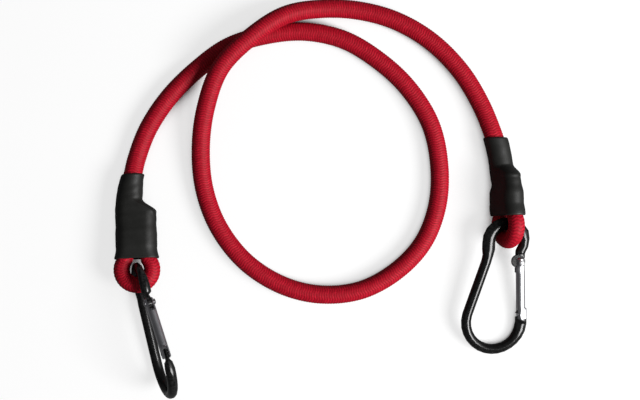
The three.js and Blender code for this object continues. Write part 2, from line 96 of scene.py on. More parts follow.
def centripetalCurve(points, perSpan):
    points = np.array(points, float)
    ahead = 2.0 * points[0] - points[1]
    after = 2.0 * points[-1] - points[-2]
    padded = np.vstack([ahead, points, after])
    line = []
    for k in range(len(points) - 1):
        p0, p1, p2, p3 = padded[k:k + 4]
        d0 = math.sqrt(np.linalg.norm(p1 - p0))
        d1 = math.sqrt(np.linalg.norm(p2 - p1))
        d2 = math.sqrt(np.linalg.norm(p3 - p2))
        m1 = ((p1 - p0) / d0 - (p2 - p0) / (d0 + d1) + (p2 - p1) / d1) * d1
        m2 = ((p2 - p1) / d1 - (p3 - p1) / (d1 + d2) + (p3 - p2) / d2) * d1
        for t in np.linspace(0.0, 1.0, perSpan, endpoint=False):
            a = 2.0 * p1 - 2.0 * p2 + m1 + m2
            b = -3.0 * p1 + 3.0 * p2 - 2.0 * m1 - m2
            line.append(a * t ** 3 + b * t ** 2 + m1 * t + p1)
    line.append(points[-1])
    return np.array(line)


def lengthsAlong(line):
    steps = np.linalg.norm(np.diff(line, axis=0), axis=1)
    return np.concatenate([[0.0], np.cumsum(steps)])


def evenly(line, step):
    along = lengthsAlong(line)
    count = max(2, int(round(along[-1] / step)))
    at = np.linspace(0.0, along[-1], count + 1)
    return np.stack([np.interp(at, along, line[:, axis]) for axis in range(3)], axis=1), at


def carriedFrames(line, firstUp):
    along = np.gradient(line, axis=0)
    along /= np.linalg.norm(along, axis=1)[:, None]
    up = np.array(firstUp, float)
    sides, ups = [], []
    for tangent in along:
        up = up - tangent * up.dot(tangent)
        up /= np.linalg.norm(up)
        sides.append(np.cross(tangent, up))
        ups.append(up)
    return np.array(sides), np.array(ups)


def ringFaces(ringCount, sides, first=0, flip=False):
    ring, k = np.meshgrid(np.arange(ringCount - 1), np.arange(sides), indexing="ij")
    a = first + ring * sides + k
    b = first + ring * sides + (k + 1) % sides
    faces = np.stack([a, b, b + sides, a + sides], axis=-1).reshape(-1, 4)
    return faces[:, ::-1] if flip else faces


def tubeFaces(outerRings, innerRings, sides):
    inside = outerRings * sides
    lastOuter = inside - sides
    lastInner = inside + (innerRings - 1) * sides
    k = np.arange(sides)
    n = (k + 1) % sides
    startRim = np.stack([n, inside + n, inside + k, k], axis=1)
    endRim = np.stack([lastInner + k, lastInner + n, lastOuter + n, lastOuter + k], axis=1)
    outer = ringFaces(outerRings, sides, flip=True)
    inner = ringFaces(innerRings, sides, inside)
    return np.vstack([outer, inner, startRim, endRim]).tolist()


def newPiece(name, points, faces):
    mesh = bpy.data.meshes.new(name)
    mesh.from_pydata(points.tolist(), [], faces)
    mesh.update()
    mesh.shade_smooth()
    piece = bpy.data.objects.new(name, mesh)
    scene.collection.objects.link(piece)
    return piece


def closedBar(name, centres, radii, firstUp, sides):
    side, up = carriedFrames(centres, firstUp)
    angle = np.arange(sides) / sides * 2.0 * math.pi
    cosine = np.cos(angle)[None, :, None]
    sine = np.sin(angle)[None, :, None]
    rings = centres[:, None, :] + radii[:, None, None] * (side[:, None, :] * cosine + up[:, None, :] * sine)
    faces = ringFaces(len(centres), sides, flip=True).tolist()
    firstCap = list(range(sides))
    lastCap = [(len(centres) - 1) * sides + k for k in reversed(firstCap)]
    return newPiece(name, rings.reshape(-1, 3), [*faces, firstCap, lastCap])


# Braided sheath: rows of slanted stitches in columns, made as real relief
braid = {
    "rowPitch": 0.00143,  # 2.48 pixels in the photograph
    "columns": 12,
    "sidesPerColumn": 3,
    "ringsPerRow": 5,
    "climb": 0.55,  # rows that a stitch climbs across its column
    "relief": 0.00017,
    "columnDip": 0.00006,  # how much deeper the seam between two columns lies
    "seamShare": 0.01,
    "seamShade": 0.25,
    "wall": 0.0010,
    "toneSeed": 5,
}


def braidedTube(name, line, radiusAt, firstUp, innerEvery):
    sides = braid["columns"] * braid["sidesPerColumn"]
    centres, along = evenly(line, braid["rowPitch"] / braid["ringsPerRow"])
    side, up = carriedFrames(centres, firstUp)
    angle = np.arange(sides) / sides * 2.0 * math.pi
    column = np.arange(sides) / braid["sidesPerColumn"]
    within = column % 1.0
    zigzag = np.abs((column % 2.0) - 1.0)
    row = along[:, None] / braid["rowPitch"] + braid["climb"] * zigzag[None, :]
    stitch = 0.5 + 0.5 * np.cos(2.0 * math.pi * row)
    seam = np.where(within < braid["seamShare"], 1.0, 0.0)[None, :]
    radius = np.array([radiusAt(s) for s in along])[:, None]
    radius = radius - braid["relief"] * (1.0 - stitch) - braid["columnDip"] * seam
    cosine = np.cos(angle)[None, :, None]
    sine = np.sin(angle)[None, :, None]
    spread = side[:, None, :] * cosine + up[:, None, :] * sine
    outer = centres[:, None, :] + radius[:, :, None] * spread
    kept = np.unique(np.append(np.arange(0, len(centres), innerEvery), len(centres) - 1))
    bore = (np.array([radiusAt(s) for s in along[kept]]) - braid["wall"])[:, None, None]
    inner = centres[kept][:, None, :] + bore * spread[kept]
    points = np.vstack([outer.reshape(-1, 3), inner.reshape(-1, 3)])
    faces = tubeFaces(len(centres), len(kept), sides)
    piece = newPiece(name, points, faces)
    # painted shade: the stitch relief and the column seams set how far the yarn's colour is darkened towards
    # the valley shade
    height = np.zeros(len(points), np.float32)
    height[:stitch.size] = (stitch * (1.0 - braid["seamShade"] * seam)).astype(np.float32).ravel()
    piece.data.attributes.new("stitchReliefShading", "FLOAT", "POINT").data.foreach_set("value", height)
    rowNumber = np.floor(row + 0.5).astype(int)
    luck = np.random.default_rng(braid["toneSeed"]).random((rowNumber.max() + 1, braid["columns"]))
    tone = np.zeros(len(points), np.float32)
    tone[:stitch.size] = luck[rowNumber, np.floor(column).astype(int)[None, :]].ravel()
    piece.data.attributes.new("stitchTone", "FLOAT", "POINT").data.foreach_set("value", tone)
    return piece, centres, along


# Rubber core: a plain bar inside each length of braid
rubberBar = {
    "inset": 0.0015,
    "step": 0.0017,
    "sides": 20,
}


def makeCore(name, line, radiusAt, firstUp, node):
    centres, along = evenly(line, rubberBar["step"])
    radii = np.array([radiusAt(s) for s in along]) - rubberBar["inset"]
    piece = closedBar(name, centres, radii, firstUp, rubberBar["sides"])
    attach(piece, "cord")
    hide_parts(node)
    return piece


# Free cord: from inside the left sleeve, round the loop and into the right sleeve
freeCord = {
    "diameter": 0.0104,
    "innerEvery": 24,  # rings of the braid to one ring of the bore
    "pointsPerSpan": 24,
    "pathEvery": 8,
    "tableShift": (-0.0009145, -0.0002382, -0.0001918),
    "leftMouth": (-0.10876, 0.05297, 0.00698),
    "route": [
        (-0.10898, 0.04933, 0.00748), (-0.10847, 0.05119, 0.00733), (-0.10785, 0.05321, 0.00717),
        (-0.1060, 0.0620, 0.0055), (-0.0995, 0.0792, 0.0054), (-0.0874, 0.0976, 0.0054),
        (-0.0708, 0.1141, 0.0054), (-0.0533, 0.1267, 0.0054), (-0.0337, 0.1331, 0.0054),
        (-0.0101, 0.1356, 0.0054), (0.0130, 0.1310, 0.0054), (0.0331, 0.1192, 0.0054),
        (0.0504, 0.1031, 0.0054), (0.0634, 0.0821, 0.0054), (0.0684, 0.0588, 0.0054),
        (0.0673, 0.0355, 0.0054), (0.0592, 0.0143, 0.0054), (0.0441, -0.0020, 0.0054),
        (0.0234, -0.0133, 0.0054), (-0.0003, -0.0158, 0.0054), (-0.0225, -0.0103, 0.0054),
        (-0.0433, 0.0031, 0.0054), (-0.0586, 0.0227, 0.0054), (-0.0668, 0.0444, 0.0055),
        (-0.0688, 0.0674, 0.0077), (-0.0656, 0.0910, 0.0123), (-0.0568, 0.1137, 0.0163),
        (-0.0395, 0.1313, 0.0164), (-0.0204, 0.1440, 0.0125), (-0.0003, 0.1483, 0.0079),
        (0.0217, 0.1477, 0.0056), (0.0432, 0.1419, 0.0054), (0.0635, 0.1301, 0.0054),
        (0.0808, 0.1126, 0.0054), (0.0926, 0.0931, 0.0055),
        (0.09997, 0.07426, 0.00713), (0.10052, 0.07227, 0.00714), (0.10100, 0.07043, 0.00715),
    ],
}


def makeFreeCord(setup):
    route = np.array(setup["route"]) + np.array(setup["tableShift"])
    line = centripetalCurve(route, setup["pointsPerSpan"])
    half = setup["diameter"] / 2.0
    crown = half + braid["relief"]
    up = (0.0, 0.0, 1.0)
    core = makeCore("cordRubber", line, lambda s: half, up, "cord_core")
    piece, centres, along = braidedTube("braidedCord", line, lambda s: crown, up, setup["innerEvery"])
    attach(piece, "cord")
    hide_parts("cord_sheath")
    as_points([tuple(p) for p in centres[::setup["pathEvery"]]] + [tuple(centres[-1])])
    print("free cord: %.3f m, %d faces" % (along[-1], len(piece.data.polygons)))
    return piece, core


freeCordPieces = makeFreeCord(freeCord)


# The two ends, each with its own frame: x from the main strand to the tail,
# y along the sleeve to the free cord, z across. The hook hangs at the seat.
endFitting = {
    "left": {
        "seat": (-0.1054145, -0.0100382, 0.0133082),
        "sleeveTurn": 2.0,
        "sleeveDrop": 6.0,
        "eyeRoll": 0.0,
        "sleeveStart": 0.0149,
        "sleeveLength": 0.0485,
        "tailTop": 0.0415,
        "tailSqueeze": 0.0,
        "shoulderAt": 0.0415,
        "shoulderLength": 0.008,
        "bandAt": 0.026,
        "bendFrom": 0.040,
        "mouthShift": (0.0042, 0.0003),
        "mouthLoose": (0.0022, 0.0),
        "mouthDraw": 0.9,
        "bulgeFade": (0.007, 0.012),
        "bulgeLean": 0.0,
        "foldSeed": 3,
    },
    "right": {
        "seat": (0.1061855, 0.0153618, 0.0136082),
        "sleeveTurn": 1.0,
        "sleeveDrop": 2.3,
        "eyeRoll": 64.0,
        "sleeveStart": 0.0141,
        "sleeveLength": 0.0449,
        "tailTop": 0.0356,
        "tailSqueeze": 0.0010,
        "shoulderAt": 0.0370,
        "shoulderLength": 0.0065,
        "bandAt": 0.0234,
        "bendFrom": 0.0311,
        "mouthShift": (-0.0012, 0.0036),
        "mouthLoose": (0.00043, -0.0009),
        "mouthDraw": 0.0,
        "bulgeFade": (0.006, 0.006),
        "bulgeLean": 0.00045,  # thicker over the main strand, thinner over the tail
        "foldSeed": 8,
    },
}
eye = {
    "bendRadius": 0.0087,
    "arcEnd": math.radians(40.0),
    "strandDiameter": 0.0095,
    "seizeStart": 0.0215,
    "swellLength": 0.007,
    "bandHalf": 0.003,
    "joinDepth": 0.004,
    "gap": 0.0003,
    "hemSqueeze": 0.0003,  # taken off the strand where the sleeve's hem grips it
    "hemReach": 0.0025,
    "strandSteps": 40,
    "arcSteps": 60,
    "innerEvery": 6,
}
eyeArcTop = eye["bendRadius"] * (1.0 + math.sin(eye["arcEnd"]))


def endAxes(end):
    turn = math.radians(end["sleeveTurn"])
    drop = math.radians(end["sleeveDrop"])
    roll = math.radians(end["eyeRoll"])
    y = Vector((-math.sin(turn), math.cos(turn), 0.0)) * math.cos(drop)
    y.z = -math.sin(drop)
    level = Vector((math.cos(turn), math.sin(turn), 0.0))
    x = level * math.cos(roll) + level.cross(y) * math.sin(roll)
    return np.array([x, y, x.cross(y)])


def toTable(points, end):
    return np.asarray(points) @ endAxes(end) + np.array(end["seat"])


def strandRadius(y, end):
    start = end["bandAt"] + eye["bandHalf"] + eye["swellLength"] / 2.0
    swell = smoothStep(y, start, start + eye["swellLength"])
    return mix(eye["strandDiameter"] / 2.0, freeCord["diameter"] / 2.0, swell)


def strandOffset(y, end):
    wide = eye["bendRadius"] * math.cos(eye["arcEnd"])
    close = strandRadius(y, end) + eye["gap"] / 2.0
    return mix(wide, close, smoothStep(y, eyeArcTop, eye["seizeStart"]))


def tailSqueeze(y, end):
    start = end["bandAt"] + eye["bandHalf"]
    share = min(max((y - start) / (end["tailTop"] - start), 0.0), 1.0)
    return end["tailSqueeze"] * share ** 2


def tailCentre(y, end):
    return np.array([strandOffset(y, end) - tailSqueeze(y, end), y, 0.0])


def mainCentre(y, end):
    mouth = end["sleeveStart"] + end["sleeveLength"]
    bend = (max(y - end["bendFrom"], 0.0) / (mouth - end["bendFrom"])) ** 2
    shift = end["mouthShift"]
    return np.array([bend * shift[0] - strandOffset(y, end), y, bend * shift[1]])


def makeEye(side):
    end = endFitting[side]
    mainTop = end["sleeveStart"] + end["sleeveLength"] - eye["joinDepth"] - eye["gap"] / 2.0
    steps = eye["strandSteps"]
    main = [mainCentre(y, end) for y in np.linspace(mainTop, eyeArcTop, steps, endpoint=False)]
    sweep = np.linspace(math.pi - eye["arcEnd"], 2.0 * math.pi + eye["arcEnd"], eye["arcSteps"])
    arc = np.stack([np.cos(sweep), 1.0 + np.sin(sweep), 0.0 * sweep], axis=1) * eye["bendRadius"]
    tail = [tailCentre(y, end) for y in np.linspace(eyeArcTop, end["tailTop"], steps)[1:]]
    line = np.vstack([main, arc, tail])
    along = lengthsAlong(line)
    fromHem = (line[:, 1] - end["sleeveStart"]) / eye["hemReach"]
    radii = np.array([strandRadius(y, end) for y in line[:, 1]])
    radii = radii - eye["hemSqueeze"] * np.exp(-fromHem ** 2)
    radii[-len(tail):] -= [tailSqueeze(point[1], end) for point in tail]
    table = toTable(line, end)
    firstUp = endAxes(end)[2]

    def radiusAt(s):
        return float(np.interp(s, along, radii))

    core = makeCore(side + "EyeRubber", table, radiusAt, firstUp, side + "_eye_core")
    piece = braidedTube(side + "BraidedEye", table, radiusAt, firstUp, eye["innerEvery"])[0]
    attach(piece, "cord")
    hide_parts(side + "_eye_sheath")
    print(side, "eye:", len(piece.data.polygons), "faces")
    return piece, core


# Heat-shrink sleeve: a taut tube over both strands, drawn in past the tail, with shrink folds
sleeve = {
    "wall": 0.0008,
    "sides": 72,
    "levels": 84,
    "bandReach": 0.0033,
    "bandBulge": 0.0011,
    "mouthFlare": 0.0003,
    "hemFlare": 0.00045,
    "rimRound": 0.00035,
    "spanSoftness": 0.0006,  # how gradually the skin goes over from one strand to the other
    "folds": 7,  # shrink folds that wind round the shoulder
    "foldHeight": 0.00020,
    "foldWidth": 0.16,
    "foldWidths": (0.5, 1.4),
    "foldDrift": 0.004,
    "foldWinding": 90.0,
    "foldMiddle": 0.003,
    "foldReach": 0.005,
    "creeps": 5,  # shallow waves all over
    "creepHeight": 0.00014,
    "creepLobes": (2, 6),
    "creepPitch": (90, 260),
    "creepWinding": 6.0,
    "evenRim": 0.003,
    "anyPhase": 6.28,
}


def bulgeShare(y, end):
    bandLow = end["bandAt"] - sleeve["bandReach"]
    bandHigh = end["bandAt"] + sleeve["bandReach"]
    fadeIn, fadeOut = end["bulgeFade"]
    return smoothStep(y, bandLow - fadeIn, bandLow) * (1.0 - smoothStep(y, bandHigh, bandHigh + fadeOut))


def sleeveReach(y, end):
    top = end["sleeveStart"] + end["sleeveLength"]
    bulge = sleeve["bandBulge"] * bulgeShare(y, end)
    mouth = sleeve["mouthFlare"] * smoothStep(y, end["shoulderAt"], top)
    hem = sleeve["hemFlare"] * (1.0 - smoothStep(y, end["sleeveStart"], eye["seizeStart"]))
    return strandRadius(y, end) + eye["gap"] + bulge + mouth + hem


def sleeveAngles():
    return (np.arange(sleeve["sides"]) + 0.5) / sleeve["sides"] * 2.0 * math.pi


def sleeveRing(y, reach, lean, end):
    loose = np.array([end["mouthLoose"][0], 0.0, end["mouthLoose"][1]])
    main = mainCentre(y, end)
    shoulder = end["shoulderAt"]
    shoulderEnd = shoulder + end["shoulderLength"]
    top = end["sleeveStart"] + end["sleeveLength"]
    slack = 1.0 - end["mouthDraw"] * smoothStep(y, shoulderEnd, top)
    pastTail = smoothStep(y, shoulder, shoulderEnd)
    tail = mix(tailCentre(y, end), main + loose * slack, pastTail)
    angle = sleeveAngles()
    outward = np.stack([np.cos(angle), 0.0 * angle, np.sin(angle)], axis=1)
    towardTail = 0.5 + 0.5 * np.tanh(outward @ (tail - main) / sleeve["spanSoftness"])
    anchor = mix(main[None, :], tail[None, :], towardTail[:, None])
    leaning = reach + lean * (1.0 - 2.0 * towardTail)
    leaning = leaning - tailSqueeze(y, end) * (1.0 - pastTail) * towardTail
    return anchor + outward * leaning[:, None]


def drawFolds(luck):
    folds = []
    for k in range(sleeve["folds"]):
        phase = luck.uniform(0, sleeve["anyPhase"])
        width = sleeve["foldWidth"] * luck.uniform(*sleeve["foldWidths"])
        folds.append((phase, width, luck.uniform(-sleeve["foldDrift"], sleeve["foldDrift"])))
    return folds


def drawCreeps(luck):
    creeps = []
    for k in range(sleeve["creeps"]):
        lobes = luck.integers(*sleeve["creepLobes"])
        pitch = luck.uniform(*sleeve["creepPitch"])
        creeps.append((lobes, pitch * sleeve["creepWinding"], luck.uniform(0, sleeve["anyPhase"])))
    return creeps


def sleeveLift(y, end, folds, creeps):
    angle = sleeveAngles()
    fromShoulder = y - end["shoulderAt"]
    nearShoulder = math.exp(-((fromShoulder - sleeve["foldMiddle"]) / sleeve["foldReach"]) ** 2)
    crease = np.zeros(sleeve["sides"])
    for phase, width, drift in folds:
        turned = angle - phase - (fromShoulder + drift) * sleeve["foldWinding"]
        apart = np.angle(np.exp(1j * turned))
        crease += np.exp(-(apart / width) ** 2)
    creep = sum(np.cos(lobes * angle + y * pitch + phase) for lobes, pitch, phase in creeps) / len(creeps)
    return sleeve["foldHeight"] * nearShoulder * crease + sleeve["creepHeight"] * (0.5 + 0.5 * creep)


def makeSleeve(side):
    end = endFitting[side]
    luck = np.random.default_rng(end["foldSeed"])
    folds = drawFolds(luck)
    creeps = drawCreeps(luck)
    top = end["sleeveStart"] + end["sleeveLength"]
    outer, inner = [], []
    for y in np.linspace(end["sleeveStart"], top, sleeve["levels"]):
        edge = min(y - end["sleeveStart"], top - y)
        rim = sleeve["rimRound"] * (1.0 - min(edge / sleeve["rimRound"], 1.0)) ** 2
        lift = sleeveLift(y, end, folds, creeps) * min(edge / sleeve["evenRim"], 1.0)
        bore = sleeveReach(y, end)
        lean = end["bulgeLean"] * bulgeShare(y, end)
        outer.append(sleeveRing(y, bore + sleeve["wall"] - rim + lift, lean, end))
        inner.append(sleeveRing(y, bore, 0.0, end))
    points = toTable(np.vstack([np.vstack(outer), np.vstack(inner)]), end)
    faces = tubeFaces(sleeve["levels"], sleeve["levels"], sleeve["sides"])
    piece = newPiece(side + "ShrinkSleeve", points, faces)
    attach(piece, "cord")
    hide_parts(side + "_sleeve")
    print(side, "sleeve:", len(piece.data.polygons), "faces")
    return piece


# Gate springs: wound round wire, filling the space of the CAD spring
gateSpring = {
    "coils": 8,
    "wire": 0.0004,
    "stepsPerCoil": 24,
    "wireSides": 10,
}


def makeGateSpring(side):
    solid = nodes[side + "_gate_spring"]
    joints = frame["record"]["behaviour"]["joints"]
    slide = next(joint for joint in joints if joint["name"] == side + "_plunger_slide")
    axis = np.array(slide["axis"]) / np.linalg.norm(slide["axis"])
    corners = np.array([solid.matrix_world @ vertex.co for vertex in solid.data.vertices])
    depth = corners @ axis
    across = corners - depth[:, None] * axis
    middle = (across.min(axis=0) + across.max(axis=0)) / 2.0
    half = gateSpring["wire"] / 2.0
    reach = np.linalg.norm(across - middle, axis=1).max() - half
    first = np.cross(axis, (1.0, 0.0, 0.0))
    first /= np.linalg.norm(first)
    second = np.cross(axis, first)
    share = np.linspace(0.0, 1.0, gateSpring["coils"] * gateSpring["stepsPerCoil"] + 1)[:, None]
    turn = share * gateSpring["coils"] * 2.0 * math.pi
    level = mix(depth.min() + half, depth.max() - half, share)
    line = middle + level * axis + reach * (np.cos(turn) * first + np.sin(turn) * second)
    thickness = np.full(len(line), half)
    piece = closedBar(side + "WoundSpring", line, thickness, axis, gateSpring["wireSides"])
    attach(piece, side + "_gate")
    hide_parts(side + "_gate_spring")
    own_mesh(piece)
    return piece


eyePieces = [makeEye(side) for side in endFitting]
sleevePieces = [makeSleeve(side) for side in endFitting]
springPieces = [makeGateSpring(side) for side in endFitting]


# Shader helpers

def link(tree, fromSocket, toSocket):
    tree.links.new(fromSocket, toSocket)


def plug(tree, value, socket):
    if isinstance(value, (int, float, tuple)):
        socket.default_value = value
    else:
        link(tree, value, socket)


def addMath(tree, operation, a, b, clamp=False):
    node = tree.nodes.new("ShaderNodeMath")
    node.operation = operation
    node.use_clamp = clamp
    plug(tree, a, node.inputs[0])
    plug(tree, b, node.inputs[1])
    return node.outputs[0]


def addMix(tree, factor, a, b):
    node = tree.nodes.new("ShaderNodeMix")
    node.data_type = "RGBA"
    plug(tree, factor, node.inputs[0])
    plug(tree, a, node.inputs[6])
    plug(tree, b, node.inputs[7])
    return node.outputs[2]


def addNoise(tree, vector, scale, detail, roughness):
    node = tree.nodes.new("ShaderNodeTexNoise")
    node.inputs["Detail"].default_value = detail
    node.inputs["Roughness"].default_value = roughness
    plug(tree, scale, node.inputs["Scale"])
    link(tree, vector, node.inputs["Vector"])
    return node.outputs["Fac"]


def addRange(tree, value, fromPair, toPair=(0.0, 1.0)):
    node = tree.nodes.new("ShaderNodeMapRange")
    node.inputs["From Min"].default_value = fromPair[0]
    node.inputs["From Max"].default_value = fromPair[1]
    node.inputs["To Min"].default_value = toPair[0]
    node.inputs["To Max"].default_value = toPair[1]
    link(tree, value, node.inputs["Value"])
    return node.outputs["Result"]


def addAttribute(tree, name):
    node = tree.nodes.new("ShaderNodeAttribute")
    node.attribute_name = name
    return node.outputs["Fac"]


def addBump(tree, shader, height, distance, strength):
    bump = tree.nodes.new("ShaderNodeBump")
    bump.inputs["Strength"].default_value = strength
    bump.inputs["Distance"].default_value = distance
    link(tree, height, bump.inputs["Height"])
    link(tree, bump.outputs["Normal"], shader.inputs["Normal"])


def objectPoint(tree):
    return tree.nodes.new("ShaderNodeTexCoord").outputs["Object"]


def pointiness(tree):
    return tree.nodes.new("ShaderNodeNewGeometry").outputs["Pointiness"]


def newMaterial(name):
    material = bpy.data.materials.new(name)
    material.use_nodes = True
    tree = material.node_tree
    return material, tree, tree.nodes["Principled BSDF"]


# Shader groups that several materials share

def newGroup(name, inputs, outputs):
    group = bpy.data.node_groups.new(name, "ShaderNodeTree")
    for label, kind, value in inputs:
        socket = group.interface.new_socket(name=label, in_out="INPUT", socket_type=kind)
        socket.default_value = value
    for label, kind in outputs:
        group.interface.new_socket(name=label, in_out="OUTPUT", socket_type=kind)
    source = group.nodes.new("NodeGroupInput")
    sink = group.nodes.new("NodeGroupOutput")
    return group, source, sink


def placeGroup(tree, group, **values):
    node = tree.nodes.new("ShaderNodeGroup")
    node.node_tree = group
    for label, value in values.items():
        node.inputs[label].default_value = value
    return node


patchLook = {
    "detail": 4.0,
    "roughness": 0.6,
    "range": (0.35, 0.65),
}


def makePatchyTone(setup):
    group, source, sink = newGroup(
        "patchyTone",
        [("Tone", "NodeSocketColor", (0.5, 0.5, 0.5, 1)), ("Darker", "NodeSocketColor", (0.4, 0.4, 0.4, 1)),
         ("Scale", "NodeSocketFloat", 200.0), ("Strength", "NodeSocketFloat", 0.5)],
        [("Color", "NodeSocketColor"), ("Patch", "NodeSocketFloat")])
    noise = addNoise(group, objectPoint(group), source.outputs["Scale"], setup["detail"], setup["roughness"])
    patch = addRange(group, noise, setup["range"])
    share = addMath(group, "MULTIPLY", patch, source.outputs["Strength"])
    colour = addMix(group, share, source.outputs["Tone"], source.outputs["Darker"])
    link(group, colour, sink.inputs["Color"])
    link(group, patch, sink.inputs["Patch"])
    return group


wearLook = {
    "edgeRange": (0.52, 0.62),
    "grainDetail": 5.0,
    "grainRoughness": 0.65,
    "grainRange": (0.42, 0.66),
}


def makeRubbedEdges(setup):
    group, source, sink = newGroup(
        "rubbedEdges",
        [("Reach", "NodeSocketFloat", 0.5), ("Breakup", "NodeSocketFloat", 600.0)],
        [("Rubbed", "NodeSocketFloat")])
    edge = addRange(group, pointiness(group), setup["edgeRange"])
    grain = addNoise(
        group, objectPoint(group), source.outputs["Breakup"], setup["grainDetail"], setup["grainRoughness"])
    grain = addRange(group, grain, setup["grainRange"])
    rubbed = addMath(group, "MULTIPLY", edge, grain)
    reached = addMath(group, "MULTIPLY", rubbed, source.outputs["Reach"], clamp=True)
    link(group, reached, sink.inputs["Rubbed"])
    return group


scratchLook = {
    "detail": 4.0,
    "roughness": 0.6,
    "range": (0.5, 0.72),
}


def makeHairScratches(setup):
    group, source, sink = newGroup(
        "hairScratches",
        [("Stretch", "NodeSocketVector", (400.0, 4000.0, 4000.0)), ("Amount", "NodeSocketFloat", 0.3)],
        [("Scratch", "NodeSocketFloat")])
    scaled = group.nodes.new("ShaderNodeVectorMath")
    scaled.operation = "MULTIPLY"
    link(group, objectPoint(group), scaled.inputs[0])
    link(group, source.outputs["Stretch"], scaled.inputs[1])
    lines = addNoise(group, scaled.outputs[0], 1.0, setup["detail"], setup["roughness"])
    lines = addRange(group, lines, setup["range"])
    link(group, addMath(group, "MULTIPLY", lines, source.outputs["Amount"]), sink.inputs["Scratch"])
    return group


patchyTone = makePatchyTone(patchLook)
rubbedEdges = makeRubbedEdges(wearLook)
hairScratches = makeHairScratches(scratchLook)
print("shader groups built")


# Materials, each with its values beside it

noiseSpan = (0.3, 0.7)  # where most of a noise texture's values lie

redYarn = {
    "crown": (0.540, 0.007, 0.026, 1),
    "crownDeep": (0.370, 0.003, 0.015, 1),
    # painted shade, laid into the valleys between stitches and along the column seams
    "valleyShade": (0.245, 0.001, 0.008, 1),
    "patchScale": 420.0,
    "patchStrength": 0.5,
    "litRange": (0.05, 0.8),
    "filamentScale": 5200.0,
    "filamentDepth": 0.00012,
    "filamentBump": 0.6,
    "roughness": (0.44, 0.70),
    "specular": 0.16,
}


def makeRedYarn(setup):
    material, tree, shader = newMaterial("redYarn")
    height = addAttribute(tree, "stitchReliefShading")
    stitch = addAttribute(tree, "stitchTone")
    patch = placeGroup(
        tree, patchyTone, Darker=setup["crownDeep"],
        Scale=setup["patchScale"], Strength=setup["patchStrength"])
    link(tree, addMix(tree, stitch, setup["crownDeep"], setup["crown"]), patch.inputs["Tone"])
    # painted shade: the colour goes from the crown's tone down to the valley shade as the relief drops
    lit = addRange(tree, height, setup["litRange"])
    link(tree, addMix(tree, lit, setup["valleyShade"], patch.outputs["Color"]), shader.inputs["Base Color"])
    filament = addNoise(tree, objectPoint(tree), setup["filamentScale"], detail=4.0, roughness=0.7)
    link(tree, addRange(tree, filament, noiseSpan, setup["roughness"]), shader.inputs["Roughness"])
    shader.inputs["Specular IOR Level"].default_value = setup["specular"]
    addBump(tree, shader, filament, setup["filamentDepth"], setup["filamentBump"])
    return material


shrinkTube = {
    "face": (0.012, 0.012, 0.011, 1),
    "faceDark": (0.008, 0.008, 0.007, 1),
    "rubbed": (0.022, 0.022, 0.020, 1),
    "patchScale": 160.0,
    "patchStrength": 0.7,
    "wearReach": 0.7,
    "wearBreakup": 900.0,
    "grainScale": 2600.0,
    "grainDepth": 0.00006,
    "grainBump": 0.5,
    "roughness": (0.44, 0.60),
    "specular": 0.32,
}


def makeShrinkTube(setup):
    material, tree, shader = newMaterial("shrinkTube")
    tone = placeGroup(
        tree, patchyTone, Tone=setup["face"], Darker=setup["faceDark"],
        Scale=setup["patchScale"], Strength=setup["patchStrength"])
    wear = placeGroup(tree, rubbedEdges, Reach=setup["wearReach"], Breakup=setup["wearBreakup"])
    colour = addMix(tree, wear.outputs["Rubbed"], tone.outputs["Color"], setup["rubbed"])
    link(tree, colour, shader.inputs["Base Color"])
    grain = addNoise(tree, objectPoint(tree), setup["grainScale"], detail=3.0, roughness=0.6)
    link(tree, addRange(tree, grain, noiseSpan, setup["roughness"]), shader.inputs["Roughness"])
    shader.inputs["Specular IOR Level"].default_value = setup["specular"]
    addBump(tree, shader, grain, setup["grainDepth"], setup["grainBump"])
    return material


blackCoat = {
    "coat": (0.004, 0.004, 0.004, 1),
    "coatDull": (0.007, 0.007, 0.007, 1),
    "bare": (0.30, 0.30, 0.30, 1),
    "patchScale": 260.0,
    "patchStrength": 0.8,
    "patchDulls": 0.02,
    "wearReach": 0.12,
    "wearBreakup": 700.0,
    "scratchStretch": (1500.0, 260.0, 1500.0),
    "scratchAmount": 0.01,
    "rippleScale": 900.0,
    "rippleDepth": 0.00003,
    "rippleBump": 0.05,
    "roughness": 0.17,
    "specular": 0.25,
}


def makeBlackCoat(setup):
    material, tree, shader = newMaterial("blackCoat")
    tone = placeGroup(
        tree, patchyTone, Tone=setup["coat"], Darker=setup["coatDull"],
        Scale=setup["patchScale"], Strength=setup["patchStrength"])
    wear = placeGroup(tree, rubbedEdges, Reach=setup["wearReach"], Breakup=setup["wearBreakup"])
    scratch = placeGroup(
        tree, hairScratches, Stretch=setup["scratchStretch"], Amount=setup["scratchAmount"])
    colour = addMix(tree, wear.outputs["Rubbed"], tone.outputs["Color"], setup["bare"])
    link(tree, colour, shader.inputs["Base Color"])
    link(tree, wear.outputs["Rubbed"], shader.inputs["Metallic"])
    dull = addMath(tree, "MULTIPLY", tone.outputs["Patch"], setup["patchDulls"])
    dull = addMath(tree, "ADD", dull, scratch.outputs["Scratch"])
    link(tree, addMath(tree, "ADD", dull, setup["roughness"], clamp=True), shader.inputs["Roughness"])
    ripple = addNoise(tree, objectPoint(tree), setup["rippleScale"], detail=2.0, roughness=0.5)
    addBump(tree, shader, ripple, setup["rippleDepth"], setup["rippleBump"])
    shader.inputs["Specular IOR Level"].default_value = setup["specular"]
    return material


